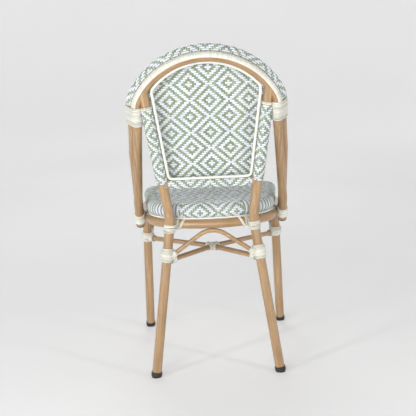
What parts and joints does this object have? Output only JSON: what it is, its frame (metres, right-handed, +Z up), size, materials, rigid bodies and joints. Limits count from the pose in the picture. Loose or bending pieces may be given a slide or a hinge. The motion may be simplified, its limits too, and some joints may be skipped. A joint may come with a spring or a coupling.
{
  "type": "stacking chair",
  "caption": "Rounded-back stacking chair with a bent tube frame in a cane look, woven seat and back, cord-lashed joints, crossed stretchers and domed feet.",
  "frame": {"origin": "centre of the bounding box's base, on the floor between the feet", "axes": "+X to the sitter's left, -Y the way the sitter faces, +Z up"},
  "size_m": [0.4406, 0.5509, 0.8801],
  "materials": {
    "tube": "painted, satin, cane look",
    "weave": "woven strand, white and sage green",
    "cord": "cream wound strand",
    "rubber": "matt black"
  },
  "bodies": {
    "root": {"hoop_rear": "tube", "hoop_front": "tube", "rear_leg_left": "tube", "rear_leg_right": "tube", "back_crossbar": "tube", "seat_ring": "tube", "seat_core_tube": "tube", "front_leg_left": "tube", "front_leg_right": "tube", "stretcher_long": "tube", "stretcher_short_rear": "tube", "stretcher_short_front": "tube", "rear_arch": "tube", "front_arch": "tube", "back_weave": "weave", "back_piping": "cord", "back_binding_band": "cord", "upright_tie_left": "cord", "upright_tie_right": "cord", "shoulder_wrap_left": "cord", "shoulder_wrap_right": "cord", "seat_weave": "weave", "seat_piping": "cord", "rear_leg_lashing_left": "cord", "rear_leg_lashing_right": "cord", "rear_stretcher_wrap_left": "cord", "rear_stretcher_wrap_right": "cord", "front_stretcher_wrap_left": "cord", "front_stretcher_wrap_right": "cord", "hoop_end_wrap_left": "cord", "hoop_end_wrap_right": "cord", "centre_wrap": "cord", "foot_glide_rear_left": "rubber", "foot_glide_rear_right": "rubber", "foot_glide_front_left": "rubber", "foot_glide_front_right": "rubber", "plug_rear_hoop_left": "rubber", "plug_rear_hoop_right": "rubber", "plug_front_hoop_left": "rubber", "plug_front_hoop_right": "rubber"}
  },
  "joints": []
}
